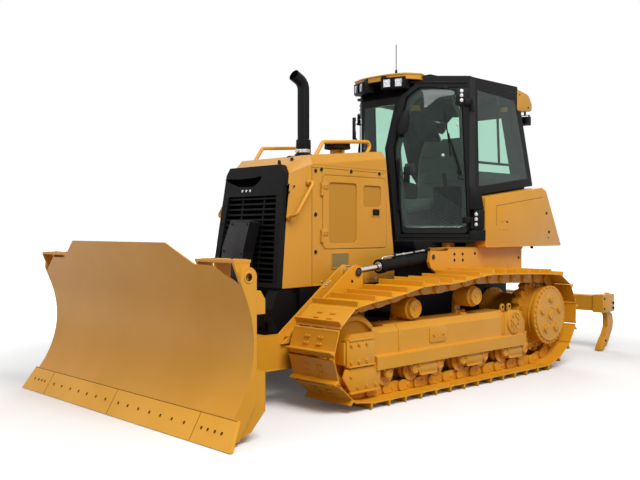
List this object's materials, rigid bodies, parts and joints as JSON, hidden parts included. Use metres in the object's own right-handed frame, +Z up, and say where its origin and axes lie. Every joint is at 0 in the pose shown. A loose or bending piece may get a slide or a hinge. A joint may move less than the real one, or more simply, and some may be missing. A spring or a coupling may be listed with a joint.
{
  "type": "bulldozer",
  "caption": "Crawler tractor with an angling and tilting front blade on a C-frame, an enclosed cab and a rear ripper.",
  "frame": {"origin": "on the ground under the middle of the machine's whole length and width", "axes": "+X forward towards the blade, +Y to the machine's left, +Z up"},
  "size_m": [6.22, 3.0762, 3.321],
  "materials": {
    "yellow_paint": "satin enamel",
    "black_paint": "satin black",
    "edge_paint": "worn enamel over steel",
    "track_steel": "painted steel, worn on the treads",
    "engine_metal": "painted casting",
    "chrome_rod": "polished",
    "tinted_glass": "tinted",
    "lamp_glass": "clear lens",
    "black_plastic": "moulded",
    "seat_cloth": "woven"
  },
  "bodies": {
    "tractor": {"main_frame": "black_paint", "cross_shafts": "black_paint", "deck_plates": "yellow_paint", "front_frame": "black_paint", "cowl": "black_paint", "engine_block": "engine_metal", "engine_hood": "yellow_paint", "grille": "black_paint", "exhaust_stack": "black_paint", "pre_cleaner": "black_paint", "hand_rails": "yellow_paint", "cab_frame": "black_paint", "cab_roof": "black_paint", "cab_glass": "tinted_glass", "lamp_pods": "yellow_paint", "work_lamps": "lamp_glass", "cab_fittings": "black_plastic", "controls": "black_plastic", "seat": "seat_cloth", "tank_left": "yellow_paint", "tank_right": "yellow_paint", "tank_rear": "yellow_paint", "track_frames": "yellow_paint", "rollers_and_idlers": "yellow_paint", "sprockets": "yellow_paint", "final_drives": "yellow_paint", "track_left": "track_steel", "track_right": "track_steel", "ripper_bracket": "yellow_paint"},
    "cab_door_left": {"cab_door_left": "black_paint", "door_glass_left": "tinted_glass"},
    "cab_door_right": {"cab_door_right": "black_paint", "door_glass_right": "tinted_glass"},
    "blade": {"moldboard": "yellow_paint", "cutting_edges": "edge_paint", "blade_back": "yellow_paint"},
    "engine_door_left": {"engine_door_left": "yellow_paint"},
    "engine_door_right": {"engine_door_right": "yellow_paint"},
    "c_frame": {"c_frame": "yellow_paint"},
    "blade_yoke": {"blade_yoke": "yellow_paint"},
    "lift_barrel_left": {"lift_barrel_left": "black_paint"},
    "lift_barrel_right": {"lift_barrel_right": "black_paint"},
    "lift_rod_left": {"lift_rod_left": "chrome_rod"},
    "lift_rod_right": {"lift_rod_right": "chrome_rod"},
    "angle_barrel_left": {"angle_barrel_left": "black_paint"},
    "angle_barrel_right": {"angle_barrel_right": "black_paint"},
    "angle_rod_left": {"angle_rod_left": "chrome_rod"},
    "angle_rod_right": {"angle_rod_right": "chrome_rod"},
    "tilt_barrel": {"tilt_barrel": "black_paint"},
    "tilt_rod": {"tilt_rod": "chrome_rod"},
    "ripper": {"ripper": "yellow_paint"},
    "ripper_barrel": {"ripper_barrel": "black_paint"},
    "ripper_rod": {"ripper_rod": "chrome_rod"}
  },
  "joints": [
    {"name": "blade_lift", "type": "hinge", "parent": "tractor", "child": "c_frame", "pos_m": [0.718, 0, 0.45], "axis": [0, -1, 0], "range_deg": [-8.8, 20]},
    {"name": "blade_angle", "type": "hinge", "parent": "c_frame", "child": "blade_yoke", "pos_m": [2.54, 0, 0.44], "axis": [0, 0, 1], "range_deg": [-25, 25]},
    {"name": "blade_tilt", "type": "hinge", "parent": "blade_yoke", "child": "blade", "pos_m": [2.7, 0, 0.44], "axis": [1, 0, 0], "range_deg": [-7, 7]},
    {"name": "lift_barrel_left_turn", "type": "hinge", "parent": "tractor", "child": "lift_barrel_left", "pos_m": [-0.057, 0.649, 1.164], "axis": [0, -1, 0], "range_deg": [-3.06, 5.68]},
    {"name": "lift_rod_left_slide", "type": "slide", "parent": "lift_barrel_left", "child": "lift_rod_left", "axis": [0.9961, 0, -0.0883], "range_m": [-0.2336, 0.1044]},
    {"name": "lift_barrel_right_turn", "type": "hinge", "parent": "tractor", "child": "lift_barrel_right", "pos_m": [-0.057, -0.649, 1.164], "axis": [0, -1, 0], "range_deg": [-3.06, 5.68]},
    {"name": "lift_rod_right_slide", "type": "slide", "parent": "lift_barrel_right", "child": "lift_rod_right", "axis": [0.9961, 0, -0.0883], "range_m": [-0.2336, 0.1044]},
    {"name": "angle_barrel_left_turn", "type": "hinge", "parent": "c_frame", "child": "angle_barrel_left", "pos_m": [2.01, 0.4, 0.668], "axis": [0, 0, 1], "range_deg": [-3.47, 3.47]},
    {"name": "angle_rod_left_slide", "type": "slide", "parent": "angle_barrel_left", "child": "angle_rod_left", "axis": [0.9899, -0.1414, 0], "range_m": [-0.1383, 0.1383]},
    {"name": "angle_barrel_right_turn", "type": "hinge", "parent": "c_frame", "child": "angle_barrel_right", "pos_m": [2.01, -0.4, 0.668], "axis": [0, 0, 1], "range_deg": [-3.47, 3.47]},
    {"name": "angle_rod_right_slide", "type": "slide", "parent": "angle_barrel_right", "child": "angle_rod_right", "axis": [0.9899, 0.1414, 0], "range_m": [-0.1383, 0.1383]},
    {"name": "tilt_barrel_turn", "type": "hinge", "parent": "blade_yoke", "child": "tilt_barrel", "pos_m": [2.6, -0.3, 0.93], "axis": [1, 0, 0], "range_deg": [-4.31, 4.31]},
    {"name": "tilt_rod_slide", "type": "slide", "parent": "tilt_barrel", "child": "tilt_rod", "axis": [0, 1, 0], "range_m": [-0.0628, 0.0628]},
    {"name": "ripper_lift", "type": "hinge", "parent": "tractor", "child": "ripper", "pos_m": [-1.7, 0, 0.56], "axis": [0, 1, 0], "range_deg": [-15, 30]},
    {"name": "ripper_barrel_turn", "type": "hinge", "parent": "tractor", "child": "ripper_barrel", "pos_m": [-1.7, 0, 1.01], "axis": [0, 1, 0], "range_deg": [-15.52, 30.04]},
    {"name": "ripper_rod_slide", "type": "slide", "parent": "ripper_barrel", "child": "ripper_rod", "axis": [-0.9736, 0, -0.2283], "range_m": [-0.2321, 0.1175]},
    {"name": "cab_door_left_turn", "type": "hinge", "parent": "tractor", "child": "cab_door_left", "pos_m": [-0.517, 0.784, 1.5], "axis": [0, 0, 1], "range_deg": [0, 80]},
    {"name": "cab_door_right_turn", "type": "hinge", "parent": "tractor", "child": "cab_door_right", "pos_m": [-0.517, -0.784, 1.5], "axis": [0, 0, -1], "range_deg": [0, 80]},
    {"name": "engine_door_left_turn", "type": "hinge", "parent": "tractor", "child": "engine_door_left", "pos_m": [1.309, 0.512, 1.4], "axis": [0, 0, -1], "range_deg": [0, 110]},
    {"name": "engine_door_right_turn", "type": "hinge", "parent": "tractor", "child": "engine_door_right", "pos_m": [1.309, -0.512, 1.4], "axis": [0, 0, 1], "range_deg": [0, 110]}
  ],
  "couplings": [
    {"joint": "lift_barrel_left_turn", "follows": "blade_lift", "ratio": 0.234},
    {"joint": "lift_rod_left_slide", "follows": "blade_lift", "m_per_rad": -0.6605},
    {"joint": "lift_barrel_right_turn", "follows": "blade_lift", "ratio": 0.234},
    {"joint": "lift_rod_right_slide", "follows": "blade_lift", "m_per_rad": -0.6605},
    {"joint": "angle_barrel_left_turn", "follows": "blade_angle", "ratio": -0.059},
    {"joint": "angle_rod_left_slide", "follows": "blade_angle", "m_per_rad": -0.31},
    {"joint": "angle_barrel_right_turn", "follows": "blade_angle", "ratio": -0.059},
    {"joint": "angle_rod_right_slide", "follows": "blade_angle", "m_per_rad": 0.31},
    {"joint": "tilt_barrel_turn", "follows": "blade_tilt", "ratio": 0.4735},
    {"joint": "tilt_rod_slide", "follows": "blade_tilt", "m_per_rad": -0.4895},
    {"joint": "ripper_barrel_turn", "follows": "ripper_lift", "ratio": 0.968},
    {"joint": "ripper_rod_slide", "follows": "ripper_lift", "m_per_rad": -0.4375}
  ]
}
